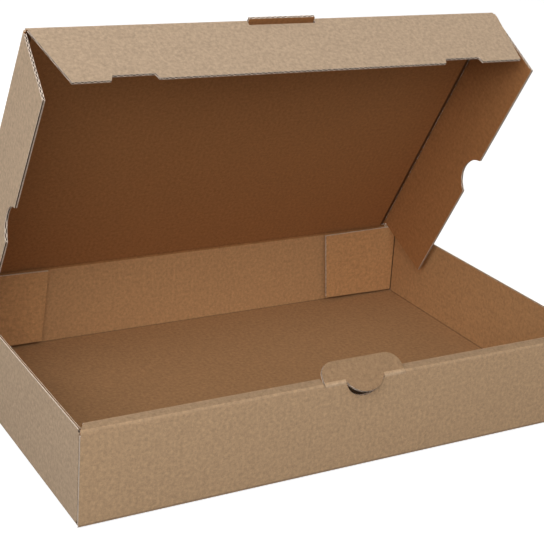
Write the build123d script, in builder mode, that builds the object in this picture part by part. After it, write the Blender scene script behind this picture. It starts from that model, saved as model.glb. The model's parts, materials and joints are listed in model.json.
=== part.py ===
"""Flat mailer box folded from one sheet of corrugated board, drawn with its lid open."""

import os
from math import cos, radians, sin, sqrt

from build123d import *

# Board and its folds
board = 1.5  # thickness of the board
fold_inside = 0.5  # inside radius of a fold
crease_gap = 0.15  # play between a fold that moves and the panel it hangs on
layer_gap = 0.3  # air between two layers that lie together
slit = 0.3  # width of a cut between two pieces of board

# Tray, measured outside
tray_width = 320.0
tray_depth = 215.0
wall_height = 52.0

# Tabs folded in from the ends of the side walls
rear_tab = 58.5  # length from the outside of the side wall
front_tab = 46.0
tab_foot_gap = 1.0  # between a tab and the bottom

# Front wall, rolled over into a second layer inside
rim_depth = 6.5
rim_rise = 1.7  # the rim's inner fold stands this much above the outer one
rim_end_gap = 2.0  # between the ends of the rolled part and the side walls
inner_foot_gap = 0.5  # between the inner layer and the bottom

# Feet of the inner layer, standing in slots of the bottom
foot_base = 26.6
foot_tip = 24.0
foot_inset = 57.0  # middle of a foot, from the outside of the tray
foot_lift = 0.2  # the foot ends this much above the underside

# Lock tab in the middle of the front wall
lock_width = 50.0
lock_height = 12.5
lock_corner = 7.0
lock_drop = 0.7  # its fold lies this much below the front fold of the rim
lock_lean = 45.0  # degrees inward from upright
lobe_width = 23.0
lobe_depth = 6.5

# Lid
lid_angle = 59.5  # degrees open
lid_side_gap = 8.25  # between the fold of a side flap and the side wall
swing_gap = 0.9  # between the closing lid and the lock tab
strip_width = 42.0  # strip at the front that the lock tab holds down
strip_length = 2.2

# Flaps of the lid
flap_fold_in = 60.0  # degrees a flap may turn inward past square
side_spring = 4.0  # degrees a side flap springs open past square
side_floor_gap = 3.25  # under a side flap when the lid is shut
side_rear_gap = 2.0  # between a side flap and the rear tab
side_rear_taper = 1.0
side_front_gap = 1.0  # between a side flap and the front flap
side_front_taper = 3.0
finger_width = 28.0
finger_depth = 8.5
front_floor_gap = 8.5
front_end_gap = 1.5  # between the front flap and a side flap
front_taper = 8.5
notch_depth = 3.5  # notches that mirror the feet

# Levels and lines that follow from the sizes
mid = board / 2
fold_mid = fold_inside + mid
fold_outside = fold_inside + board
half_width = tray_width / 2
half_depth = tray_depth / 2
front_y = mid - half_depth
back_y = half_depth - mid
rim_y = rim_depth - mid - half_depth
tab_y = half_depth - board - layer_gap - mid
tab_top = wall_height - board - layer_gap
hinge_z = wall_height - mid
back_top = hinge_z - mid - crease_gap
rim_z = wall_height + rim_rise - mid
rim_half = half_width - board - rim_end_gap
inner_foot_z = board + inner_foot_gap
foot_x = half_width - foot_inset

# Lock tab
lock_half = lock_width / 2
lock_z = wall_height - lock_drop
lock_tip_y = front_y + lock_height * sin(radians(lock_lean)) + mid * cos(radians(lock_lean))
lobe_radius = (lobe_width**2 / 4 + lobe_depth**2) / (2 * lobe_depth)
window_z = rim_z - (lock_height - lock_drop - rim_depth + board)

# Lid and flaps, measured from the hinge in the plane of the lid
side_depth = wall_height - board - side_floor_gap - mid
front_depth = wall_height - board - front_floor_gap - mid
swing = back_y - max(lock_tip_y, rim_y + mid) - swing_gap
lid_length = sqrt(swing**2 - (front_depth + mid) ** 2)
flap_x = half_width - board - lid_side_gap - mid
front_u = lid_length - mid
fold_sin = sin(radians(flap_fold_in))
fold_cos = cos(radians(flap_fold_in))
relief_in = (mid + crease_gap + mid * fold_sin) / fold_cos
relief_out = (mid + crease_gap - mid * fold_sin) / fold_cos
strip_half = strip_width / 2
strip_reach = mid + strip_length + slit
rear_u = back_y - (tab_y - mid) + side_rear_gap
end_u = lid_length - board - side_front_gap
finger_u = (rear_u + end_u) / 2
finger_radius = (finger_width**2 / 4 + finger_depth**2) / (2 * finger_depth)
front_half = flap_x - mid - front_end_gap

# Planes of the open lid: its face, a cut across it and a cut along it
lid_hinge = Vector(0, back_y, hinge_z)
lid_along = Vector(0, -cos(radians(lid_angle)), sin(radians(lid_angle)))
lid_inward = Vector(0, -sin(radians(lid_angle)), -cos(radians(lid_angle)))
lid_face = Plane(lid_hinge, x_dir=(1, 0, 0), z_dir=lid_inward)
lid_cross = Plane(lid_hinge, x_dir=(1, 0, 0), z_dir=-lid_along)
lid_side = Plane(lid_hinge, x_dir=lid_along, z_dir=(1, 0, 0))
side_out = Vector(1, 0, 0) * cos(radians(side_spring)) - lid_inward * sin(radians(side_spring))
side_face = Plane(lid_hinge + Vector(flap_x, 0, 0), x_dir=lid_along, z_dir=side_out)
lock_face = Plane(
    (0, front_y, lock_z),
    x_dir=(1, 0, 0),
    z_dir=(0, -cos(radians(lock_lean)), sin(radians(lock_lean))),
)

os.makedirs("parts", exist_ok=True)

# Tray: bottom, walls, corner tabs and the rolled front, one folded sheet
with BuildPart() as tray:
    # Bottom and side walls
    with BuildSketch(Plane.XZ):
        with BuildLine():
            FilletPolyline(
                (-half_width + mid, wall_height),
                (-half_width + mid, mid),
                (half_width - mid, mid),
                (half_width - mid, wall_height),
                radius=fold_mid,
            )
        trace(line_width=board)
    extrude(amount=half_depth - fold_outside, both=True)
    # Back wall, bottom and outer front wall
    with BuildSketch(Plane.YZ):
        with BuildLine():
            FilletPolyline(
                (back_y, back_top),
                (back_y, mid),
                (front_y, mid),
                (front_y, wall_height - fold_outside),
                radius=fold_mid,
            )
        trace(line_width=board)
    extrude(amount=half_width - fold_outside, both=True)
    # Ends of the outer front wall and of the back wall, flush with the side walls
    with BuildSketch(Plane.XZ.offset(half_depth)):
        with Locations((0, fold_outside)):
            Rectangle(tray_width, wall_height - 2 * fold_outside, align=(Align.CENTER, Align.MIN))
    extrude(amount=-board)
    with BuildSketch(Plane.XZ.offset(-half_depth)):
        with Locations((0, fold_outside)):
            Rectangle(tray_width, back_top - fold_outside, align=(Align.CENTER, Align.MIN))
    extrude(amount=board)
    # Rim and inner layer of the front wall
    with BuildSketch(Plane.YZ):
        with BuildLine():
            FilletPolyline(
                (front_y, wall_height - 2 * fold_outside),
                (front_y, wall_height - mid),
                (rim_y, rim_z),
                (rim_y, inner_foot_z),
                radius=fold_mid,
            )
        trace(line_width=board)
    extrude(amount=rim_half, both=True)
    # Corner tabs
    with BuildSketch(Plane.XY.offset(board + tab_foot_gap)):
        with BuildLine():
            FilletPolyline(
                (half_width - rear_tab, tab_y),
                (half_width - mid, tab_y),
                (half_width - mid, -tab_y),
                (half_width - front_tab, -tab_y),
                radius=fold_mid,
            )
        trace(line_width=board)
        mirror(about=Plane.YZ)
    extrude(amount=tab_top - board - tab_foot_gap)
    # Slots of the bottom, and the feet that stand in them
    with BuildSketch(Plane.XY):
        with Locations((foot_x, rim_y), (-foot_x, rim_y)):
            Rectangle(foot_base + 2 * slit, board + 2 * slit)
    extrude(amount=board, mode=Mode.SUBTRACT)
    with BuildSketch(Plane.XZ.offset(-rim_y)):
        Polygon(
            (foot_x - foot_base / 2, inner_foot_z + board),
            (foot_x - foot_base / 2, inner_foot_z),
            (foot_x - foot_tip / 2, foot_lift),
            (foot_x + foot_tip / 2, foot_lift),
            (foot_x + foot_base / 2, inner_foot_z),
            (foot_x + foot_base / 2, inner_foot_z + board),
            align=None,
        )
        mirror(about=Plane.YZ)
    extrude(amount=mid, both=True)
    # Opening that the lock tab leaves in the rim and in the inner layer
    with BuildSketch(Plane.XZ.offset(half_depth)):
        with Locations((0, lock_z - mid - crease_gap)):
            Rectangle(lock_width + 2 * slit, rim_z, align=(Align.CENTER, Align.MIN))
    extrude(amount=-rim_depth, mode=Mode.SUBTRACT)
    with BuildSketch(Plane.XZ.offset(-rim_y)) as window:
        with Locations((0, window_z)):
            Rectangle(lock_width + 2 * slit, rim_z, align=(Align.CENTER, Align.MIN))
        fillet(window.vertices().group_by(Axis.Y)[0], radius=lock_corner)
    extrude(amount=mid, both=True, mode=Mode.SUBTRACT)
    # Hollow in the outer front wall for the lobe of the lock tab
    with BuildSketch(Plane.XZ.offset(half_depth)):
        with Locations((0, lock_z - lobe_depth + lobe_radius)):
            Circle(lobe_radius + slit)
    extrude(amount=-board, mode=Mode.SUBTRACT)
tray.part.label = "tray"
export_step(tray.part, "parts/tray.step")

# Lock tab, hinged on the top of the outer front wall
with BuildPart() as lock_tab:
    with BuildSketch(lock_face) as lock_outline:
        Rectangle(lock_width, lock_height, align=(Align.CENTER, Align.MIN))
        fillet(lock_outline.vertices().group_by(Axis.Y)[-1], radius=lock_corner)
        with BuildLine():
            ThreePointArc((-lobe_width / 2, 0), (0, -lobe_depth), (lobe_width / 2, 0))
            Line((lobe_width / 2, 0), (-lobe_width / 2, 0))
        make_face()
    extrude(amount=mid, both=True)
    with BuildSketch(Plane.YZ):
        with Locations((front_y, lock_z)):
            Circle(mid)
    extrude(amount=lock_half, both=True)
lock_tab.part.label = "lock_tab"
export_step(lock_tab.part, "parts/lock_tab.step")

# Lid, hinged on the back wall; its edges are cut back where the flaps fold in
with BuildPart() as lid:
    with BuildSketch(lid_cross):
        Polygon(
            (relief_out - flap_x, -mid),
            (flap_x - relief_out, -mid),
            (flap_x - relief_in, mid),
            (relief_in - flap_x, mid),
            align=None,
        )
    extrude(amount=-lid_length)
    with BuildSketch(lid_side):
        Polygon(
            (0, -mid),
            (front_u - relief_out, -mid),
            (front_u - relief_in, mid),
            (0, mid),
            align=None,
        )
    extrude(amount=half_width, both=True, mode=Mode.INTERSECT)
    with BuildSketch(lid_face):
        Rectangle(strip_width, lid_length + strip_length, align=(Align.CENTER, Align.MIN))
    extrude(amount=mid, both=True)
    with BuildSketch(lid_side):
        Circle(mid)
    extrude(amount=flap_x - relief_out, both=True)
lid.part.label = "lid"
export_step(lid.part, "parts/lid.step")

# Front flap of the lid, notched round the strip and along its free edge
with BuildPart() as lid_front_flap:
    with BuildSketch(lid_cross.offset(-front_u)):
        Polygon(
            (-front_half, 0),
            (front_half, 0),
            (front_half - front_taper, front_depth),
            (front_taper - front_half, front_depth),
            align=None,
        )
    extrude(amount=mid, both=True)
    with BuildSketch(lid_side):
        with Locations((front_u, 0)):
            Circle(mid)
    extrude(amount=front_half, both=True)
    with BuildSketch(lid_cross.offset(-front_u)):
        with Locations((0, -mid)):
            Rectangle(strip_width + 2 * slit, mid + strip_reach, align=(Align.CENTER, Align.MIN))
        Polygon(
            (foot_x - foot_tip / 2, front_depth - notch_depth),
            (foot_x + foot_tip / 2, front_depth - notch_depth),
            (foot_x + foot_base / 2, front_depth),
            (foot_x - foot_base / 2, front_depth),
            align=None,
        )
        mirror(about=Plane.YZ)
    extrude(amount=mid, both=True, mode=Mode.SUBTRACT)
lid_front_flap.part.label = "lid_front_flap"
export_step(lid_front_flap.part, "parts/lid_front_flap.step")

# Side flaps of the lid, each with a finger notch in its free edge
with BuildPart() as lid_right_flap:
    with BuildSketch(side_face):
        Polygon(
            (rear_u, 0),
            (end_u, 0),
            (end_u - side_front_taper, side_depth),
            (rear_u + side_rear_taper, side_depth),
            align=None,
        )
        with Locations((finger_u, side_depth - finger_depth + finger_radius)):
            Circle(finger_radius, mode=Mode.SUBTRACT)
    extrude(amount=mid, both=True)
    with BuildSketch(lid_cross.offset(-rear_u)):
        with Locations((flap_x, 0)):
            Circle(mid)
    extrude(amount=rear_u - end_u)
lid_right_flap.part.label = "lid_right_flap"
export_step(lid_right_flap.part, "parts/lid_right_flap.step")

with BuildPart() as lid_left_flap:
    mirror(lid_right_flap.part, about=Plane.YZ)
lid_left_flap.part.label = "lid_left_flap"
export_step(lid_left_flap.part, "parts/lid_left_flap.step")
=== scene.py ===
import json
from math import ceil, cos, hypot, pi, radians, sin

import bmesh
import bpy
from mathutils import Matrix, Vector


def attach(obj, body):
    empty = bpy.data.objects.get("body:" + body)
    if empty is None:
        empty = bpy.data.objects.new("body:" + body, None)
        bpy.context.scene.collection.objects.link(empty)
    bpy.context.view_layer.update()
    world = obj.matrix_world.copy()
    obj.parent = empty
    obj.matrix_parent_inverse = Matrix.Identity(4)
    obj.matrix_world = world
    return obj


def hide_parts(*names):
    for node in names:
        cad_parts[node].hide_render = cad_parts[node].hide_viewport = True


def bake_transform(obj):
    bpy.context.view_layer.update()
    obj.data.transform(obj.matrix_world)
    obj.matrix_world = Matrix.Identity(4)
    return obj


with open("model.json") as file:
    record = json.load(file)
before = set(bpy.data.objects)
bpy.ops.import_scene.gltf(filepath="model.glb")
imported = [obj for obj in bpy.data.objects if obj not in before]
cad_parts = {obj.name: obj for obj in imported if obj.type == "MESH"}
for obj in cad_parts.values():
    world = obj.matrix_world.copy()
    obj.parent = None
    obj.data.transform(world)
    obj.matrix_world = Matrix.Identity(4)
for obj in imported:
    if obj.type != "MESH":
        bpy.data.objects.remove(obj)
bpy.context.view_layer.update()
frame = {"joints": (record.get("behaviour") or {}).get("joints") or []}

folds = {joint["name"]: Vector(joint["pos_m"]) * 1000 for joint in frame["joints"]}

# Tray: the lower half of one die-cut sheet of brown fluted board, bottom and walls folded up.
# Two kraft liners are glued to a wavy sheet between them; the flutes run from front to back.
# The front wall is rolled over inward and its feet stand in two slots of the bottom.
board = 1.5
liner = 0.22
flute_paper, flute_pitch, flute_clear = 0.36, 3.4, 0.01
flute_height = board / 2 - liner - flute_paper / 2 - flute_clear
steps_per_flute, steps_per_fold, steps_per_corner = 12, 6, 8
OUTSIDE, INSIDE, FLUTES, EDGES, SIDE_OUT, SIDE_IN, TAB_IN = range(7)
X, Y, Z = range(3)
outside_tone = (0.50, 0.362, 0.244)
front_tone = (0.515, 0.337, 0.195)
# The inner liner's tones are redder and deeper than the outer liner's: painted shade of the inside of the
# box.
inside_tone = (0.500, 0.276, 0.126)
side_inside_tone = (0.462, 0.250, 0.110)
# The rear tabs' inner tone is lighter than the walls': painted light on tabs that face the front.
tab_inside_lit_tone = (0.560, 0.300, 0.130)
# The flute paper is much darker than the liners: painted shade in the tunnels of the board and in gaps
# between its layers.
flute_shade_tone = (0.11, 0.064, 0.035)
# The cut edges are pale with torn fibres, and lifted further as painted light where they face away from the
# lamps.
edge_tone = (0.90, 0.74, 0.60)
scuff_tone = (0.66, 0.53, 0.40)


def add_node(tree, kind, **inputs):
    """A shader node; inputs are its sockets by name, as values or as sockets to link."""
    node = tree.nodes.new("ShaderNode" + kind)
    for name, value in inputs.items():
        socket = node.inputs[int(name[1:])] if name[0] == "_" else node.inputs[name.replace("_", " ")]
        if isinstance(value, bpy.types.NodeSocket):
            tree.links.new(value, socket)
        else:
            socket.default_value = value
    return node


def arithmetic(tree, operation, *values):
    """The result of one sum on sockets or numbers."""
    node = tree.nodes.new("ShaderNodeMath")
    node.operation = operation
    for socket, value in zip(node.inputs, values):
        if isinstance(value, bpy.types.NodeSocket):
            tree.links.new(value, socket)
        else:
            socket.default_value = value
    return node.outputs[0]


def kraft(name, tone, turn=0.0, across="X"):
    """Kraft liner paper: cloudy tone, crossing fibres, dark specks, faint flutes, pale scuffed folds, and
    painted shade where a face's mark is below 0.
    """
    mean_shade, cloud_depth, flute_depth, painted_shade_depth = 0.97, 0.06, 0.012, 0.45
    mottle_depth, mean_mottle = 0.86, 0.5
    fibre_depth, mean_fibre = 0.5, 0.6
    fleck_limit, fleck_depth = 0.715, 0.24
    wear_depth, wear_start = 1.6, -0.25
    smoothest, fibre_rough = 0.74, 0.16
    fibre_relief, flute_relief = 0.5, 0.30
    material = bpy.data.materials.new(name)
    material.use_nodes = True
    tree = material.node_tree
    shader = tree.nodes["Principled BSDF"]
    place = add_node(tree, "TexCoord").outputs["Object"]
    place = add_node(tree, "Mapping", Vector=place, Rotation=(turn, 0, 0)).outputs[0]
    axis = add_node(tree, "SeparateXYZ", Vector=place).outputs[across]
    flutes = arithmetic(tree, "SINE", arithmetic(tree, "MULTIPLY", axis, 2 * pi / (flute_pitch / 1000)))
    clouds = add_node(tree, "TexNoise", Vector=place, Scale=34.0, Detail=4.0, Roughness=0.6).outputs[0]
    fibres = []
    for stretch in ((420, 2300, 1300), (2300, 420, 1300), (1300, 1300, 420)):
        run = add_node(tree, "Mapping", Vector=place, Scale=stretch, Rotation=(0.3, 0.2, 0.4)).outputs[0]
        strands = add_node(tree, "TexNoise", Vector=run, Scale=1.0, Detail=2.0, Distortion=0.6)
        fibres.append(strands.outputs[0])
    fibre = arithmetic(tree, "MAXIMUM", arithmetic(tree, "MAXIMUM", fibres[0], fibres[1]), fibres[2])
    fleck = add_node(tree, "TexNoise", Vector=place, Scale=1500.0, Detail=1.0).outputs[0]
    fleck = arithmetic(tree, "GREATER_THAN", fleck, fleck_limit)
    mottle = add_node(tree, "TexNoise", Vector=place, Scale=520.0, Detail=4.0, Roughness=0.65).outputs[0]
    wear_and_shade = add_node(tree, "Attribute")
    wear_and_shade.attribute_name = "wear_and_shade"
    wear_and_shade = wear_and_shade.outputs["Fac"]
    shade = arithmetic(tree, "MULTIPLY_ADD", clouds, cloud_depth, mean_shade)
    mottled = arithmetic(tree, "MULTIPLY_ADD", mottle, mottle_depth, -mottle_depth * mean_mottle)
    shade = arithmetic(tree, "ADD", shade, mottled)
    fibrous = arithmetic(tree, "MULTIPLY_ADD", fibre, fibre_depth, -fibre_depth * mean_fibre)
    shade = arithmetic(tree, "ADD", shade, fibrous)
    shade = arithmetic(tree, "ADD", shade, arithmetic(tree, "MULTIPLY", flutes, flute_depth))
    shade = arithmetic(tree, "ADD", shade, arithmetic(tree, "MULTIPLY", fleck, -fleck_depth))
    # Painted shade: faces whose mark is below 0 are darkened, standing in for shade in creases, corners, on
    # the floor and under the lid.
    painted_shade = arithmetic(tree, "MAXIMUM", arithmetic(tree, "MULTIPLY", wear_and_shade, -1.0), 0.0)
    painted_shade = arithmetic(tree, "MULTIPLY_ADD", painted_shade, -painted_shade_depth, 1.0)
    shade = arithmetic(tree, "MULTIPLY", shade, painted_shade)
    colour = add_node(tree, "VectorMath", _0=tone)
    colour.operation = "SCALE"
    tree.links.new(shade, colour.inputs["Scale"])
    wear = arithmetic(tree, "MULTIPLY_ADD", mottle, wear_depth, wear_start)
    mark_here = arithmetic(tree, "MULTIPLY", arithmetic(tree, "MAXIMUM", wear_and_shade, 0.0), wear)
    mix = add_node(tree, "Mix")
    mix.data_type = "RGBA"
    tree.links.new(mark_here, mix.inputs[0])
    tree.links.new(colour.outputs[0], mix.inputs[6])
    mix.inputs[7].default_value = (*scuff_tone, 1)
    tree.links.new(mix.outputs[2], shader.inputs["Base Color"])
    rough = arithmetic(tree, "MULTIPLY_ADD", fibre, fibre_rough, smoothest)
    tree.links.new(rough, shader.inputs["Roughness"])
    shader.inputs["Specular IOR Level"].default_value = 0.22
    height = arithmetic(tree, "ADD", arithmetic(tree, "MULTIPLY", fibre, fibre_relief),
                        arithmetic(tree, "MULTIPLY", flutes, flute_relief))
    bump = add_node(tree, "Bump", Strength=0.35, Distance=0.00012, Height=height)
    tree.links.new(bump.outputs[0], shader.inputs["Normal"])
    return material


def slab(outline, low, high, rounding=()):
    """A panel punched from an outline: corners in order, then from low to high through its thickness."""
    shell = bmesh.new()
    corners = [shell.verts.new((across, along, low)) for across, along in outline]
    shell.faces.new(corners)
    for index, radius in rounding:
        bmesh.ops.bevel(shell, geom=[corners[index]], offset=radius, offset_type="OFFSET",
                        segments=steps_per_corner, profile=0.5, affect="VERTICES", material=-1)
    lifted = bmesh.ops.extrude_face_region(shell, geom=shell.faces[:])["geom"]
    lifted = [part for part in lifted if isinstance(part, bmesh.types.BMVert)]
    bmesh.ops.translate(shell, verts=lifted, vec=(0, 0, high - low))
    bmesh.ops.recalc_face_normals(shell, faces=shell.faces)
    return shell


def box(low, high):
    """A square-edged block between two corners."""
    block = bmesh.new()
    bmesh.ops.create_cube(block, size=1.0)
    low, high = Vector(low), Vector(high)
    bmesh.ops.scale(block, verts=block.verts, vec=high - low)
    bmesh.ops.translate(block, verts=block.verts, vec=(low + high) / 2)
    return block


def rod(radius, start, end, segments=24):
    """A round rod between two points."""
    shell = bmesh.new()
    start, end = Vector(start), Vector(end)
    bmesh.ops.create_cone(shell, cap_ends=True, segments=segments, radius1=radius, radius2=radius,
                          depth=(end - start).length)
    turn = (end - start).to_track_quat("Z", "Y").to_matrix()
    bmesh.ops.rotate(shell, verts=shell.verts, cent=(0, 0, 0), matrix=turn)
    bmesh.ops.translate(shell, verts=shell.verts, vec=(start + end) / 2)
    return shell


def corrugation(across, along):
    """The wavy sheet between the liners: across the flutes, then along them."""
    wave = bmesh.new()
    steps = ceil((across[1] - across[0]) / flute_pitch * steps_per_flute)
    bmesh.ops.create_grid(wave, x_segments=steps, y_segments=1, size=0.5)
    for vert in wave.verts:
        vert.co.x = across[0] + (vert.co.x + 0.5) * (across[1] - across[0])
        vert.co.y = along[0] + (vert.co.y + 0.5) * (along[1] - along[0])
        vert.co.z = flute_height * sin(2 * pi * vert.co.x / flute_pitch) + flute_paper / 2
    wave.normal_update()
    bmesh.ops.solidify(wave, geom=wave.faces[:], thickness=flute_paper)
    bmesh.ops.recalc_face_normals(wave, faces=wave.faces)
    return wave


def drawn_out(path, side, start, end):
    """A sheet without thickness: a path of corners drawn out sideways from start to end."""
    shell = bmesh.new()
    corners = [shell.verts.new(side(point, start)) for point in path]
    edges = [shell.edges.new(pair) for pair in zip(corners, corners[1:])]
    drawn = bmesh.ops.extrude_edge_only(shell, edges=edges)["geom"]
    drawn = [part for part in drawn if isinstance(part, bmesh.types.BMVert)]
    bmesh.ops.translate(shell, verts=drawn, vec=Vector(side(path[0], end)) - Vector(side(path[0], start)))
    return shell


def folded_liner(path, radius, side, start, end):
    """A liner folded round along a path of corners and drawn out sideways."""
    shell = drawn_out(path, side, start, end)
    inner = [edge for edge in shell.edges if len(edge.link_faces) == 2]
    bmesh.ops.bevel(shell, geom=inner, offset=radius, offset_type="OFFSET", segments=steps_per_fold,
                    profile=0.5, affect="EDGES", material=-1)
    return shell


def thicken(shell, thickness):
    """Gives a liner its thickness behind its faces, or before them where negative."""
    shell.normal_update()
    bmesh.ops.solidify(shell, geom=shell.faces[:], thickness=thickness)
    bmesh.ops.recalc_face_normals(shell, faces=shell.faces)
    return shell


def punched(shell, dies, operation="DIFFERENCE"):
    """The shell after each die in turn has gone through it."""
    for die in dies:
        pair = []
        for source in (shell, die):
            mesh = bpy.data.meshes.new("stock")
            source.to_mesh(mesh)
            pair.append(bpy.data.objects.new("stock", mesh))
            bpy.context.scene.collection.objects.link(pair[-1])
        cut = pair[0].modifiers.new("cut", "BOOLEAN")
        cut.operation = operation
        cut.solver = "EXACT"
        cut.object = pair[1]
        graph = bpy.context.evaluated_depsgraph_get()
        result = bpy.data.meshes.new_from_object(pair[0].evaluated_get(graph))
        shell.clear()
        shell.from_mesh(result)
        bpy.data.meshes.remove(result)
        for thing in pair:
            mesh = thing.data
            bpy.data.objects.remove(thing)
            bpy.data.meshes.remove(mesh)
    return shell


def looks(normal, axis):
    """True of a face that looks mostly along an axis, either way."""
    return abs(normal[axis]) > 0.5


def mark_edges(shell, is_edge):
    """Picks out the faces where the board was cut through, which show pale torn fibres, made paler still with
    painted light.
    """
    shell.normal_update()
    for face in shell.faces:
        face.material_index = EDGES if is_edge(face.calc_center_median(), face.normal) else 0
    return shell


def board_piece(name, shells, materials, place=None, wear_and_shade_lines=(), reach=1.4):
    """One piece of board from its shells, (shell, material number, own place), marked along its lines of wear
    and painted shade.

    A line is a point on a fold, the way the fold runs and its strength: pale wear above 0, painted shade
    below."""
    smooth_up_to = radians(20)
    millimetre = 0.001
    whole = bmesh.new()
    for shell, number, own_place in shells:
        for face in shell.faces:
            if number is not None and face.material_index != EDGES:
                # Liner faces turned towards the flutes take the dark flute paper: painted shade inside the
                # board.
                towards_flutes = place is not None and face.calc_center_median().z * face.normal.z < 0
                face.material_index = FLUTES if towards_flutes else number
        if own_place is not None:
            bmesh.ops.transform(shell, verts=shell.verts, matrix=own_place)
            if own_place.determinant() < 0:
                bmesh.ops.reverse_faces(shell, faces=shell.faces)
        mesh = bpy.data.meshes.new("shell")
        shell.to_mesh(mesh)
        whole.from_mesh(mesh)
        bpy.data.meshes.remove(mesh)
        shell.free()
    wear_and_shade = whole.faces.layers.float.new("wear_and_shade")
    for face in whole.faces:
        centre = face.calc_center_median()
        inner = face.material_index in (INSIDE, FLUTES, SIDE_IN, TAB_IN)
        for origin, direction, strength in wear_and_shade_lines:
            if inner and strength > 0:
                continue
            away = (centre - Vector(origin)).cross(Vector(direction)).length
            mark_here = strength * min(1.0, max(0.0, 2.0 - 2.0 * away / reach))
            if abs(mark_here) > abs(face[wear_and_shade]):
                face[wear_and_shade] = mark_here
    if place is not None:
        bmesh.ops.transform(whole, verts=whole.verts, matrix=place)
        if place.determinant() < 0:
            bmesh.ops.reverse_faces(whole, faces=whole.faces)
    bmesh.ops.scale(whole, verts=whole.verts, vec=(millimetre, millimetre, millimetre))
    mesh = bpy.data.meshes.new(name)
    whole.to_mesh(mesh)
    whole.free()
    mesh.polygons.foreach_set("use_smooth", [True] * len(mesh.polygons))
    mesh.set_sharp_from_angle(angle=smooth_up_to)
    for material in materials:
        mesh.materials.append(material)
    piece = bpy.data.objects.new(name, mesh)
    bpy.context.scene.collection.objects.link(piece)
    return piece


flute_kraft = kraft("kraft_flutes", flute_shade_tone)
edge_kraft = kraft("kraft_edges", edge_tone)
outside_kraft = kraft("kraft_outside", front_tone)
inside_kraft = kraft("kraft_inside", inside_tone)
outside_side_kraft = kraft("kraft_side_outside", outside_tone, across="Z")
inside_side_kraft = kraft("kraft_side_inside", side_inside_tone, across="Z")
tab_kraft = kraft("kraft_tab_inside", tab_inside_lit_tone, across="Z")

half_width, half_depth, wall_height = 160.0, 107.5, 52.0
fold_outside, fold_inside = 2.0, 0.5
flat_half = half_width - fold_outside
half_up = 20.0
back_top, front_seam = 50.35, 49.5
rim_half, roll_half = 156.5, 159.7
rim_back, rim_top, rim_sharpness, below_rim = -101.0, 53.7, 0.6, 50.0
layer_middle, layer_top = rim_back - board / 2, wall_height - 1.2
lock_fold = folds["lock_tab_fold"]
lock_half = 25.0
slit = 0.3
hollow_depth, hollow_radius = 9.2, 12.3
window_foot, window_rounding = 46.15, 7.0
foot_x, foot_base, foot_tip, foot_end, foot_root = 103.0, 26.6, 24.0, 0.2, 2.0
rear_tab_end, front_tab_end = 101.5, 114.0
rear_tab_slant, rear_tab_lift, rear_tab_turn = 2.0, 1.8, radians(2.4)
tab_outer, tab_low, tab_top = 105.7, 2.5, 50.2
tab_zone_x, tab_zone_y, tab_liner_zone = 157.0, 101.0, 3.0
side_foot_half = 105.4
near = 0.01


def across_tray(point, x):
    """A corner of a front-to-back section of the tray."""
    return (x, point[0], point[1])


def up_wall(point, z):
    """A corner of a level section through the tray's walls."""
    return (point[0], point[1], z)


before_front, behind_front, before_layer, behind_layer = -109.0, -105.0, -104.0, -100.0
under_bottom, over_bottom, over_rim, past_end = -1.0, 3.0, 60.0, 170.0
lock_cut = lock_fold.z - board / 2 - slit / 2
lock_gap = box((-lock_half - slit, before_front, lock_cut), (lock_half + slit, behind_layer, over_rim))
hollow_z = lock_fold.z - hollow_depth + hollow_radius
lobe_gap = rod(hollow_radius, (0, before_front, hollow_z), (0, behind_front, hollow_z), segments=96)
window = box((-lock_half - slit, before_layer, window_foot), (lock_half + slit, behind_layer, over_rim))
window_corners = [edge for edge in window.edges if all(v.co.z < window_foot + 1 for v in edge.verts)
                  and abs(edge.verts[0].co.x - edge.verts[1].co.x) < 1e-6]
bmesh.ops.bevel(window, geom=window_corners, offset=window_rounding, offset_type="OFFSET",
                segments=steps_per_corner, profile=0.5, affect="EDGES", material=-1)
slot_x, slot_y = foot_base / 2 + slit, board / 2 + slit
slot_front, slot_back = layer_middle - slot_y, layer_middle + slot_y
slots = [box((x - slot_x, slot_front, under_bottom), (x + slot_x, slot_back, over_bottom))
         for x in (-foot_x, foot_x)]
upright = Matrix(((1, 0, 0, 0), (0, 0, -1, layer_middle), (0, 1, 0, 0), (0, 0, 0, 1)))
between_feet = []
foot_lean = (foot_base - foot_tip) / 2 / (foot_root - foot_end)
foot_tip_half = foot_tip / 2 - foot_lean * (foot_end - under_bottom)
for low, high in ((-past_end, -foot_x), (-foot_x, foot_x), (foot_x, past_end)):
    low_root = low + (foot_base / 2 if low > -past_end else 0)
    low_tip = low + (foot_tip_half if low > -past_end else 0)
    high_root = high - (foot_base / 2 if high < past_end else 0)
    high_tip = high - (foot_tip_half if high < past_end else 0)
    outline = ((low_tip, under_bottom), (high_tip, under_bottom),
               (high_root, foot_root), (low_root, foot_root))
    die = slab(outline, -2 * board, 2 * board)
    bmesh.ops.transform(die, verts=die.verts, matrix=upright)
    between_feet.append(die)


def cut_of_wall(centre, normal):
    """True of the ends of the front and back walls and of their tops."""
    return looks(normal, X) or centre.z > half_up and not looks(normal, Y)


def cut_of_roll(centre, normal):
    """True of the roll's ends, its feet and window, and the gap of the lock tab."""
    low = centre.z < below_rim or abs(centre.z - lock_cut) < near
    return looks(normal, X) or low and not looks(normal, Y)


def cut_of_side(centre, normal):
    """True of the top of a side wall and of the free edges of its tabs."""
    on_tab = abs(centre.y) > tab_zone_y and centre.x < tab_zone_x
    return centre.z > half_up and looks(normal, Z) or on_tab and not looks(normal, Y)


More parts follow.
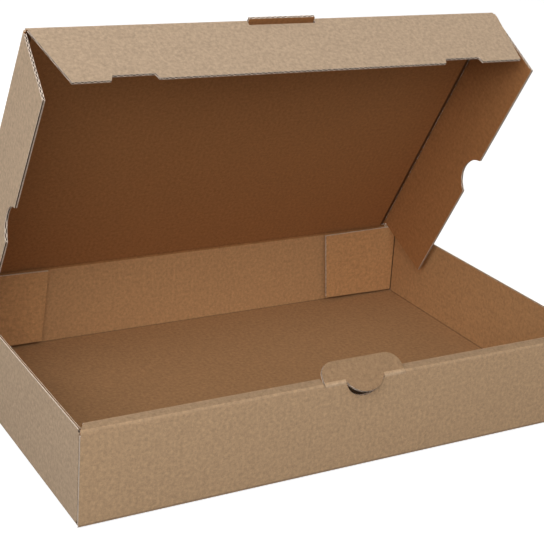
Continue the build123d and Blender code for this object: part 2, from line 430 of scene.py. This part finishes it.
shells = []
rim_slope = (rim_top - wall_height) / (rim_back + half_depth)
wall_liners = ((OUTSIDE, 0.0, fold_outside, liner), (INSIDE, board, fold_inside, -liner))
for number, inset, radius, thickness in wall_liners:
    back, front = half_depth - inset, inset - half_depth
    path = ((back, back_top), (back, inset), (front, inset), (front, front_seam))
    shell = folded_liner(path, radius, across_tray, -half_width, half_width)
    for vert in shell.verts:
        if vert.co.z < inset + 3 * near:
            vert.co.x *= flat_half / half_width
    punched(thicken(shell, thickness), slots + [lock_gap, lobe_gap])
    shells.append((mark_edges(shell, cut_of_wall), number, None))
    level = wall_height - inset * hypot(1, rim_slope)
    layer = rim_back - inset
    path = ((front, front_seam), (front, level + inset * rim_slope),
            (layer, level + (layer + half_depth) * rim_slope), (layer, foot_end))
    shell = folded_liner(path, rim_sharpness * radius, across_tray, -rim_half, rim_half)
    for vert in shell.verts:
        if vert.co.y < front + board:
            vert.co.x *= roll_half / rim_half
    punched(thicken(shell, thickness), [lock_gap, lobe_gap, window] + between_feet)
    shells.append((mark_edges(shell, cut_of_roll), number, None))
side_liners = ((SIDE_OUT, 0.0, fold_outside, liner), (SIDE_IN, board, fold_inside, -liner))
for number, inset, radius, thickness in side_liners:
    wall, tab = half_width - inset, tab_outer - inset
    path = ((rear_tab_end, tab), (wall, tab), (wall, -tab), (front_tab_end, -tab))
    for hand in (1, -1):
        shell = folded_liner(path, radius, up_wall, fold_outside, wall_height)
        foot = [edge for edge in shell.edges
                if all(abs(v.co.z - fold_outside) < 1e-4 and abs(v.co.x - wall) < 1e-4 for v in edge.verts)]
        for vert in shell.verts:
            if abs(vert.co.y) > tab_outer - fold_outside + near:
                vert.co.z = tab_top if vert.co.z > half_up else tab_low
            if vert.co.x < rear_tab_end + 1 and vert.co.y > 0:
                vert.co.y -= (flat_half - rear_tab_end) * sin(rear_tab_turn)
                vert.co.z = max(vert.co.z, tab_low + rear_tab_lift)
                vert.co.x += -rear_tab_slant if vert.co.z > half_up else rear_tab_slant
        bmesh.ops.spin(shell, geom=foot + list(foot[0].verts), cent=(flat_half, 0, fold_outside),
                       axis=(0, 1, 0), angle=pi / 2, steps=steps_per_fold, use_merge=False,
                       use_duplicate=False)
        bmesh.ops.remove_doubles(shell, verts=shell.verts, dist=0.001)
        for vert in shell.verts:
            if vert.co.z < fold_outside - 5 * near:
                vert.co.y *= side_foot_half / (tab_outer - fold_outside)
        bmesh.ops.recalc_face_normals(shell, faces=shell.faces)
        mark_edges(thicken(shell, thickness), cut_of_side)
        # Faces of the inner liner on the rear tabs take the lighter tab tone: painted light.
        for face in shell.faces:
            if face.material_index != EDGES:
                tab_face = abs(face.calc_center_median().y) > tab_outer - board - tab_liner_zone
                face.material_index = TAB_IN if tab_face and number == SIDE_IN else number
        shells.append((shell, None, Matrix.Diagonal((hand, 1, 1, 1))))
tab_middle = tab_outer - board / 2
tab_fold = Vector((flat_half, tab_middle, 0))
leaning = Matrix.Rotation(rear_tab_turn, 4, "Z")
leaning = Matrix.Translation(tab_fold) @ leaning @ Matrix.Translation(-tab_fold)
past_tab = []
for hand in (1, -1):
    past_tab_x, through_tab = 60.0, 8.0
    outline = ((past_tab_x, tab_low), (rear_tab_end + rear_tab_slant, tab_low),
               (rear_tab_end - rear_tab_slant, tab_top), (past_tab_x, tab_top))
    die = slab(outline, -through_tab, through_tab)
    stand = Matrix(((hand, 0, 0, 0), (0, 0, -1, tab_outer), (0, 1, 0, 0), (0, 0, 0, 1)))
    bmesh.ops.transform(die, verts=die.verts, matrix=stand)
    bmesh.ops.recalc_face_normals(die, faces=die.faces)
    past_tab.append(die)
flute_end = 0.2
wall_span = (flute_end - half_width, half_width - flute_end)
side_span = (fold_outside, wall_height), (fold_outside - tab_outer, tab_outer - fold_outside)
rear_span = (tab_low + rear_tab_lift, tab_top), (rear_tab_end - rear_tab_slant, flat_half)
wall_x, wall_y = half_width - board / 2, half_depth - board / 2
to_right, to_left, to_back, upward = (1, 0, 0), (-1, 0, 0), (0, 1, 0), (0, 0, 1)
panels = (
    (wall_span, (fold_outside, back_top), (to_right, upward, to_back), (0, wall_y, 0), ()),
    (wall_span, (fold_outside, front_seam), (to_right, upward, to_back), (0, -wall_y, 0),
     (lock_gap, lobe_gap)),
    ((-rim_half, rim_half), (foot_end, layer_top), (to_right, upward, to_back), (0, layer_middle, 0),
     [lock_gap, window] + between_feet),
    (*side_span, (upward, to_back, to_right), (wall_x, 0, 0), ()),
    (*side_span, (upward, to_back, to_left), (-wall_x, 0, 0), ()),
    (*rear_span, (upward, to_right, to_back), (0, tab_middle, 0), past_tab[:1]),
    (*rear_span, (upward, to_left, to_back), (0, tab_middle, 0), past_tab[1:]),
)
for across, along, axes, middle, dies in panels:
    wave = corrugation(across, along)
    stand = Matrix.Translation(middle) @ Matrix(axes).transposed().to_4x4()
    if along == rear_span[1]:
        mirror = Matrix.Diagonal((axes[1][0], 1, 1, 1))
        stand = mirror @ leaning @ mirror @ stand
    bmesh.ops.transform(wave, verts=wave.verts, matrix=stand)
    bmesh.ops.recalc_face_normals(wave, faces=wave.faces)
    punched(wave, dies)
    facing = Vector(axes[2])
    shells.append((mark_edges(wave, lambda centre, normal: abs(normal.dot(facing)) < 0.5), FLUTES, None))
fibre_end, fibre_clear, front_fibres, back_fibres = 0.3, 0.02, 1.4, 0.8
ear_length, ear_drop = 9.4, 0.1
cut_ends = ((-half_depth, front_fibres - half_depth, front_seam),
            (half_depth - back_fibres, half_depth, back_top))
for sx in (-1, 1):
    left, right = sorted((sx * half_width, sx * (half_width - fibre_end)))
    for low, high, top in cut_ends:
        end = box((left, low + fibre_clear, fold_outside), (right, high - fibre_clear, top - fibre_clear))
        shells.append((mark_edges(end, lambda centre, normal: True), OUTSIDE, None))
    left, right = sorted((sx * half_width, sx * (half_width - ear_length)))
    ear = box((left, half_depth - board, back_top), (right, half_depth, wall_height - ear_drop))
    shells.append((mark_edges(ear, lambda centre, normal: not looks(normal, Y)), OUTSIDE, None))
# A dark sheet of flute paper in the gap between the front wall and its inner layer, behind the lobe's hollow:
# painted shadow where that gap lies in shade.
shade_half, shade_foot, shade_drop, shade_front, shade_back = 15.0, 36.0, 0.1, 0.25, 0.05
shadow_behind_lobe = box((-shade_half, rim_back - board - shade_front, shade_foot),
                  (shade_half, rim_back - board - shade_back, window_foot - shade_drop))
shells.append((shadow_behind_lobe, FLUTES, None))
corner_inset = board + 0.1
rim_line_y, rim_line_z = (rim_back - half_depth) / 2, 52.6
# Pale wear along the outer folds and rear corners. Painted shade in the inner corners and folds, at the front
# corner seams, at the rollover's fold, along the rim where the lid's shadow falls, and over the floor.
tray_wear_and_shade = [
    ((0, 0.4 - half_depth, wall_height - 0.2), to_right, -0.2),
    ((0, rim_back, rim_top), to_right, -0.3),
    ((0, rim_line_y, rim_line_z), to_right, -0.6),
    ((0, 0, board), to_back, -0.44),
]
for sy in (-1, 1):
    tray_wear_and_shade.append(((0, sy * half_depth, 0), to_right, 0.8))
    tray_wear_and_shade.append(((0, sy * (half_depth - corner_inset), corner_inset), to_right, -1.0))
for sx in (-1, 1):
    tray_wear_and_shade.append(((sx * half_width, 0, 0), to_back, 0.8))
    tray_wear_and_shade.append(((sx * (half_width - corner_inset), 0, corner_inset), to_back, -1.0))
    tray_wear_and_shade.append(((sx * half_width, tab_outer, 0), upward, 0.8))
    tray_wear_and_shade.append(((sx * half_width, -tab_outer, 0), upward, -1.6))
    for sy in (-1, 1):
        corner = (sx * (half_width - corner_inset), sy * (tab_outer - corner_inset), 0)
        tray_wear_and_shade.append((corner, upward, -1.9))
tray = board_piece("tray", shells, [outside_kraft, inside_kraft, flute_kraft, edge_kraft, outside_side_kraft,
                                    inside_side_kraft, tab_kraft], wear_and_shade_lines=tray_wear_and_shade, reach=1.3)
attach(tray, "tray")
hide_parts("tray")

# Lock tab: cut out of the rim and the inner front layer, still joined to the front wall by its crease.
# It leans inward; the round lobe below the crease stands out of its hollow in the front wall.
lock_lean = radians(45.0)
lock_height = 12.5
lobe_depth, lobe_top_half, lobe_foot_half = 7.0, 11.5, 8.0
lobe_rounding, right_rounding, left_rounding = 7.0, 9.5, 8.0
# The lock tab's outer tone is darker than the front wall's: painted shade for the lid's shadow over the tab.
lock_shaded_tone = (0.352, 0.218, 0.118)


def through_board(centre, normal):
    """True of a cut face of a panel that lies flat."""
    return not looks(normal, Z)


lock_up = Vector((0, sin(lock_lean), cos(lock_lean)))
lock_out = Vector((0, -cos(lock_lean), sin(lock_lean)))
lock_place = Matrix.Translation(lock_fold) @ Matrix(((1, 0, 0), lock_up, lock_out)).transposed().to_4x4()
lock_outline = ((-lock_half, 0), (-lobe_top_half, 0), (-lobe_foot_half, -lobe_depth),
                (lobe_foot_half, -lobe_depth), (lobe_top_half, 0), (lock_half, 0),
                (lock_half, lock_height), (-lock_half, lock_height))
lock_rounding = ((2, lobe_rounding), (3, lobe_rounding), (6, right_rounding), (7, left_rounding))
lock_outer = slab(lock_outline, board / 2 - liner, board / 2, lock_rounding)
lock_inner = slab(lock_outline, -board / 2, liner - board / 2, lock_rounding)
lock_die = slab(lock_outline, -board / 2, board / 2, lock_rounding)
lock_wave = punched(corrugation((-lock_half, lock_half), (-lobe_depth, lock_height)), [lock_die], "INTERSECT")
shells = [
    (mark_edges(lock_outer, through_board), OUTSIDE, None),
    (mark_edges(lock_inner, through_board), INSIDE, None),
    (mark_edges(lock_wave, through_board), FLUTES, None),
]
for sx in (-1, 1):
    shells.append((rod(board / 2, (sx * lobe_top_half, 0, 0), (sx * lock_half, 0, 0)), OUTSIDE, None))
lock_kraft = kraft("kraft_lock_outside", lock_shaded_tone, turn=-lock_lean)
lock_inside_kraft = kraft("kraft_lock_inside", inside_tone, turn=-lock_lean)
lock_tab = board_piece("lock_tab", shells, [lock_kraft, lock_inside_kraft, flute_kraft, edge_kraft],
                       place=lock_place, wear_and_shade_lines=(((0, 0, 0), to_right, 0.2),))
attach(lock_tab, "lock_tab")
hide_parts("lock_tab")

# Lid: the upper panel of the same sheet, joined to the back wall by a crease and standing open.
# Its inner liner is crushed towards the outer one along the creases of the flaps.
# A short strip stands forward of the front crease for the lock tab to hold down.
lid_open = radians(59.5)
# The inner tone of the lid and its flaps is darker and redder than the tray's: painted shade under the open
# lid.
lid_inside_shaded_tone = (0.380, 0.170, 0.061)
lid_hinge = folds["lid_hinge"]
lid_along = Vector((0, -cos(lid_open), sin(lid_open)))
lid_inward = Vector((0, -sin(lid_open), -cos(lid_open)))
lid_place = Matrix.Translation(lid_hinge) @ Matrix(((1, 0, 0), lid_along, lid_inward)).transposed().to_4x4()
flap_x = folds["right_flap_fold"].x
front_u = (folds["front_flap_fold"] - lid_hinge).length
strip_x, strip_half, strip_length, strip_root = -1.5, 21.0, board / 2 + 2.2, 6.0
strip_left, strip_right, strip_end = strip_x - strip_half, strip_x + strip_half, front_u + strip_length
crush, crushed_level, hinge_zone = 4.0, -0.45, 10.0
beside_fold, under_bead = board / 2 + 0.05, 0.54
edge_x, edge_u = flap_x - under_bead, front_u - under_bead
lid_outline = ((-edge_x, 0), (edge_x, 0), (edge_x, edge_u), (strip_right, edge_u), (strip_right, strip_end),
               (strip_left, strip_end), (strip_left, edge_u), (-edge_x, edge_u))
crush_root = front_u - crush
strip_outline = ((strip_left, crush_root), (strip_right, crush_root),
                 (strip_right, strip_end), (strip_left, strip_end))
rim_x, rim_u = flap_x - beside_fold - 0.05, front_u - beside_fold - 0.05
rim_start, panel_start = 0.3, 0.6
inner = bmesh.new()
rim_corners = ((-rim_x, 0), (rim_x, 0), (rim_x, rim_u), (-rim_x, rim_u))
face = inner.faces.new([inner.verts.new((x, u, crushed_level)) for x, u in rim_corners])
inner.normal_update()
bmesh.ops.inset_region(inner, faces=[face], thickness=crush - beside_fold, use_even_offset=True,
                       use_boundary=True)
for vert in inner.verts:
    if abs(abs(vert.co.x) - rim_x) > 1e-3:
        vert.co.z = board / 2
        if vert.co.y < hinge_zone:
            vert.co.y = panel_start
    elif vert.co.y < hinge_zone:
        vert.co.y = rim_start
thicken(inner, liner)


def past_lid(centre, normal):
    """True of a cut face of the strip that stands forward of the lid."""
    return through_board(centre, normal) and centre.y > front_u


bead_past = 0.5
strip_wave = corrugation((strip_left, strip_right), (front_u - strip_root, strip_end))
shells = [
    (mark_edges(slab(lid_outline, -board / 2, liner - board / 2), past_lid), OUTSIDE, None),
    (inner, INSIDE, None),
    (mark_edges(slab(strip_outline, board / 2 - liner, board / 2), through_board), INSIDE, None),
    (mark_edges(strip_wave, through_board), FLUTES, None),
    (rod(board / 2, (-flap_x - bead_past, 0, 0), (flap_x + bead_past, 0, 0)), OUTSIDE, None),
]
lid_outside_kraft = kraft("kraft_lid_outside", outside_tone, turn=lid_open)
lid_inside_kraft = kraft("kraft_lid_inside", lid_inside_shaded_tone, turn=lid_open)
# A pale worn line along the hinge, and painted shade along the crushed creases of the flaps and the front on
# the lid's inner face.
shade_from_fold, shade_level, crease_shade_strength = 2.3, 0.2, -1.4
lid_wear_and_shade = [((0, 0, 0), to_right, 0.5),
              ((0, front_u - shade_from_fold, shade_level), to_right, crease_shade_strength)]
for sx in (-1, 1):
    lid_wear_and_shade.append(((sx * (flap_x - shade_from_fold), 0, shade_level), to_back, crease_shade_strength))
lid = board_piece("lid", shells, [lid_outside_kraft, lid_inside_kraft, flute_kraft, edge_kraft],
                  place=lid_place, wear_and_shade_lines=lid_wear_and_shade)
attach(lid, "lid")
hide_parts("lid")

# Front flap of the lid: folded square to the lid along the front crease.
# It is cut round the strip, tapered at both ends and notched twice along its free edge.
front_half, left_taper, right_taper = 148.6, 11.3, 4.5
front_depth, front_skew, past_free_edge = 40.8, 0.0043, 1.0
corner_cut, corner_depth = 1.6, 3.0
strip_cut, notch_depth = strip_length + slit, 3.5
front_bead_gap, front_bead_shift = 1.2, 1.0
# The front flap's outer tone is a little darker than the lid's: painted shade.
front_outside_shaded_tone = tuple(0.95 * part for part in outside_tone)
front_outline = [(-front_half, beside_fold), (strip_left - slit, beside_fold), (strip_left - slit, strip_cut),
                 (strip_right + slit, strip_cut), (strip_right + slit, beside_fold),
                 (front_half - corner_cut, beside_fold), (front_half, corner_depth),
                 (front_half - right_taper, front_depth)]
for x in (foot_x, -foot_x):
    front_outline += [(x + foot_base / 2, front_depth), (x + foot_tip / 2, front_depth - notch_depth),
                      (x - foot_tip / 2, front_depth - notch_depth), (x - foot_base / 2, front_depth)]
front_outline.append((left_taper - front_half, front_depth))
front_outline = [(x, down + front_skew * x if down > strip_cut else down) for x, down in front_outline]


def past_front_fold(centre, normal):
    """True of a cut face of the front flap, but not of its end at the fold."""
    return through_board(centre, normal) and centre.y > board / 2


front_place = Matrix.Translation(folds["front_flap_fold"]) @ Matrix(
    ((1, 0, 0), lid_inward, -lid_along)).transposed().to_4x4()
front_die = slab(front_outline, -board / 2, board / 2)
front_wave = corrugation((-front_half, front_half), (0, front_depth + past_free_edge))
punched(front_wave, [front_die], "INTERSECT")
shells = [
    (mark_edges(slab(front_outline, -board / 2, liner - board / 2), past_front_fold), OUTSIDE, None),
    (mark_edges(slab(front_outline, board / 2 - liner, board / 2), past_front_fold), INSIDE, None),
    (mark_edges(front_wave, past_front_fold), FLUTES, None),
]
for sx in (-1, 1):
    bead = rod(board / 2, (strip_x + sx * (strip_half + slit), 0, 0),
               (sx * (flap_x - front_bead_gap) - front_bead_shift, 0, 0))
    bead.normal_update()
    for face in bead.faces:
        face.material_index = INSIDE if face.normal.y + face.normal.z > near else OUTSIDE
    shells.append((bead, None, None))
front_turn = lid_open - pi / 2
front_outside_kraft = kraft("kraft_front_outside", front_outside_shaded_tone, turn=front_turn)
front_inside_kraft = kraft("kraft_front_inside", lid_inside_shaded_tone, turn=front_turn)
# A pale worn line along the fold outside, and painted shade along the inner side of its bead.
front_wear_and_shade = (((0, 0, 0), to_right, 0.6), ((0, 0.6, 1.1), to_right, -1.0))
front_flap = board_piece("lid_front_flap", shells,
                         [front_outside_kraft, front_inside_kraft, flute_kraft, edge_kraft],
                         place=front_place, wear_and_shade_lines=front_wear_and_shade)
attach(front_flap, "lid_front_flap")
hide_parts("lid_front_flap")

# Side flaps of the lid: folded nearly square to the lid, tapered at both ends so they slip into the tray.
# Each has a half-moon finger notch in the middle of its free edge and springs a little outward.
rear_u, end_u, side_depth = 4.0, 196.344, 46.5
rear_taper, end_taper = 1.5, 3.0
side_spring = radians(4.0)
finger_u, finger_radius, finger_depth = (rear_u + end_u) / 2, 15.78, 8.5
finger_down, finger_through = finger_radius + side_depth - finger_depth, 2.0
side_bead_start, side_bead_end = 1.8, front_u - 0.8
# The side flaps' outer tone is lighter than the lid's: painted light.
side_lit_tone = tuple(1.1 * part for part in outside_tone)
side_outline = ((beside_fold, rear_u), (beside_fold, end_u), (side_depth, end_u - end_taper),
                (side_depth, rear_u + rear_taper))


def past_side_fold(centre, normal):
    """True of a cut face of a side flap, but not of its end at the fold."""
    return through_board(centre, normal) and centre.x > board / 2


for hand, name in ((-1, "lid_left_flap"), (1, "lid_right_flap")):
    fold = folds[name.removeprefix("lid_") + "_fold"]
    square_out = Vector((hand, 0, 0))
    side_down = lid_inward * cos(side_spring) + square_out * sin(side_spring)
    side_out = square_out * cos(side_spring) - lid_inward * sin(side_spring)
    side_place = Matrix.Translation(fold) @ Matrix((side_down, lid_along, side_out)).transposed().to_4x4()
    finger_hole = [rod(finger_radius, (finger_down, finger_u, -finger_through),
                       (finger_down, finger_u, finger_through), segments=128)]
    side_die = slab(side_outline, -board / 2, board / 2)
    side_wave = punched(corrugation((0, side_depth), (rear_u, end_u)), [side_die], "INTERSECT")
    side_outer = punched(slab(side_outline, board / 2 - liner, board / 2), finger_hole)
    side_inner = punched(slab(side_outline, -board / 2, liner - board / 2), finger_hole)
    shells = [
        (mark_edges(side_outer, past_side_fold), OUTSIDE, None),
        (mark_edges(side_inner, past_side_fold), INSIDE, None),
        (mark_edges(punched(side_wave, finger_hole), past_side_fold), FLUTES, None),
    ]
    bead = rod(board / 2, (0, side_bead_start, 0), (0, side_bead_end, 0))
    bead.normal_update()
    for face in bead.faces:
        face.material_index = INSIDE if face.normal.x - face.normal.z > near else OUTSIDE
    shells.append((bead, None, None))
    side_kraft = kraft("kraft_" + name, side_lit_tone, turn=lid_open, across="Z")
    side_kraft_inside = kraft("kraft_" + name + "_inside", lid_inside_shaded_tone, turn=lid_open, across="Z")
    # A pale worn line along the fold outside, and faint painted shade along its inner side.
    side_wear_and_shade = (((0, 0, 0), to_back, 0.6), ((0.6, 0, -1.1), to_back, -0.3))
    flap = board_piece(name, shells, [side_kraft, side_kraft_inside, flute_kraft, edge_kraft],
                       place=side_place, wear_and_shade_lines=side_wear_and_shade)
    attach(flap, name)
    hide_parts(name)

# Creases: the liners run unbroken round the hinge of the lid and round the fold of the lock tab.
# The scored board there is soft.
crease_paper, crease_past, lobe_clear = 0.03, 0.4, 0.6
axis = lid_hinge.yz
skin = board / 2 + 0.04
back_face, wall_inside = axis.x + skin, axis.x - skin
lid_run, lid_face = lid_along.yz, lid_inward.yz
round_back = [axis + skin * Vector((cos(turn), sin(turn))) for turn in
              (step / 4 * (pi / 2 - lid_open) for step in range(5))]
outer_path = [(back_face, axis.y - drop) for drop in (2.45, 1.25)] + round_back
outer_path += [axis - skin * lid_face + run * lid_run for run in (1.2, 2.4)]
inner_path = [(wall_inside, axis.y - drop) for drop in (1.65, 0.95, 0.3)]
inner_path += [axis + skin * lid_face + run * lid_run for run in (0.5, 1.0, 1.5)]
lock_axis = lock_fold.yz
lock_front = lock_axis.x - skin
round_front = [lock_axis + skin * Vector((cos(turn), sin(turn))) for turn in
               (pi - step / 3 * lock_lean for step in range(4))]
lock_path = [(lock_front, lock_axis.y - drop) for drop in (1.6, 0.8)] + round_front
lock_path += [lock_axis + skin * lock_out.yz + run * lock_up.yz for run in (0.7, 1.5)]
hinge_spans = ((-flap_x - crease_past, flap_x + crease_past),)
lobe_side = lobe_top_half + lobe_clear
lock_spans = ((-lock_half, -lobe_side), (lobe_side, lock_half))
outer_line = axis + skin * Vector((1, 0.25))
inner_line = Vector((wall_inside, axis.y - 0.25))
lock_line = lock_axis + skin * Vector((-1, 0.2))
# The inner hinge run carries painted shade where the lid meets the back wall; the outer hinge and lock runs
# carry pale wear.
crease_runs = (
    ("hinge_crease_outside", outer_path, hinge_spans, "lid", outside_kraft, outer_line, 0.5, 3),
    ("hinge_crease_inside", inner_path, hinge_spans, "lid", lid_inside_kraft, inner_line, -0.4, -2),
    ("lock_crease", lock_path, lock_spans, "lock_tab", outside_kraft, lock_line, 0.35, -2),
)
for name, path, spans, body, paper, fold_line, strength, last in crease_runs:
    shells = []
    for start, end in spans:
        shell = drawn_out(path, across_tray, start, end)
        bmesh.ops.recalc_face_normals(shell, faces=shell.faces)
        shells.append((thicken(shell, crease_paper), 0, None))
    strip = board_piece(name, shells, [paper], wear_and_shade_lines=(((0, *fold_line), to_right, strength),), reach=1.2)
    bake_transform(strip)

# Studio: a pale floor under a white surround, soft light from above and the camera of the photograph.
floor_half, floor_drop = 6.0, 0.0004
floor_mesh = bpy.data.meshes.new("floor")
ground = bmesh.new()
bmesh.ops.create_grid(ground, x_segments=1, y_segments=1, size=floor_half)
bmesh.ops.translate(ground, verts=ground.verts, vec=(0, 0, -floor_drop))
ground.to_mesh(floor_mesh)
ground.free()
floor = bpy.data.objects.new("floor", floor_mesh)
bpy.context.scene.collection.objects.link(floor)


def seen_directly(tree):
    """1 where the camera, a reflection or glass looks at the backdrop, and 0 where only light does."""
    ray = add_node(tree, "LightPath").outputs
    seen = arithmetic(tree, "MAXIMUM", ray["Is Camera Ray"], ray["Is Glossy Ray"])
    return arithmetic(tree, "MAXIMUM", seen, ray["Is Transmission Ray"])


floor_paint = bpy.data.materials.new("floor_paint")
floor_paint.use_nodes = True
tree = floor_paint.node_tree
tree.nodes.remove(tree.nodes["Principled BSDF"])
pale = add_node(tree, "BsdfDiffuse", Color=(0.98, 0.98, 0.98, 1)).outputs[0]
glow = add_node(tree, "Emission", Color=(1, 1, 1, 1), Strength=1.55).outputs[0]
shown = add_node(tree, "MixShader", _0=0.5, _1=pale, _2=glow).outputs[0]
bounce = add_node(tree, "BsdfDiffuse", Color=(0.30, 0.30, 0.30, 1)).outputs[0]
paint = add_node(tree, "MixShader", _0=seen_directly(tree), _1=bounce, _2=shown).outputs[0]
tree.links.new(paint, tree.nodes["Material Output"].inputs["Surface"])
floor_mesh.materials.append(floor_paint)

surround = bpy.data.worlds.new("surround")
bpy.context.scene.world = surround
surround.use_nodes = True
tree = surround.node_tree
light = add_node(tree, "Background", Color=(1, 1, 1, 1), Strength=0.15).outputs[0]
white = add_node(tree, "Background", Color=(1, 1, 1, 1), Strength=1.0).outputs[0]
sky = add_node(tree, "MixShader", _0=seen_directly(tree), _1=light, _2=white).outputs[0]
tree.links.new(sky, tree.nodes["World Output"].inputs["Surface"])

softbox_aim = Vector((0, 0, 0.1))
softboxes = (
    ("softbox_front", (-0.3, -1.3, 1.5), 2.0, 1.6, 11.5),
    ("softbox_left", (-1.5, -0.8, 1.1), 1.4, 1.4, 17.0),
    ("softbox_right", (1.4, -0.9, 1.2), 1.4, 1.4, 5.5),
    ("softbox_near_camera", (-0.75, -1.25, 0.75), 0.8, 0.8, 4.5),
    ("softbox_above_back", (-0.2, 1.1, 1.6), 2.0, 1.4, 13.5),
)
for name, spot, width, height, power in softboxes:
    softbox = bpy.data.lights.new(name, "AREA")
    softbox.shape = "RECTANGLE"
    softbox.size, softbox.size_y = width, height
    softbox.energy = power
    lamp = bpy.data.objects.new(name, softbox)
    lamp.location = spot
    lamp.rotation_euler = (softbox_aim - lamp.location).to_track_quat("-Z", "Y").to_euler()
    bpy.context.scene.collection.objects.link(lamp)

camera_spot = Vector((-386.47, -674.0, 366.83)) / 1000
camera_heading, camera_tilt, camera_roll = radians(-32.437), radians(73.037), radians(4.513)
photo_pixels, focal_pixels, axis_pixel_x, axis_pixel_y = 544, 1406.72, 339.03, 185.0
lens = bpy.data.cameras.new("camera")
camera = bpy.data.objects.new("camera", lens)
camera.matrix_world = (Matrix.Translation(camera_spot) @ Matrix.Rotation(camera_heading, 4, "Z")
                       @ Matrix.Rotation(camera_tilt, 4, "X") @ Matrix.Rotation(camera_roll, 4, "Z"))
lens.sensor_width = 36.0
lens.lens = focal_pixels / photo_pixels * lens.sensor_width
lens.shift_x = (photo_pixels / 2 - axis_pixel_x) / photo_pixels
lens.shift_y = (axis_pixel_y - photo_pixels / 2) / photo_pixels
lens.clip_start, lens.clip_end = 0.01, 50.0
bpy.context.scene.collection.objects.link(camera)
bpy.context.scene.camera = camera
bpy.context.scene.view_settings.view_transform = "Standard"
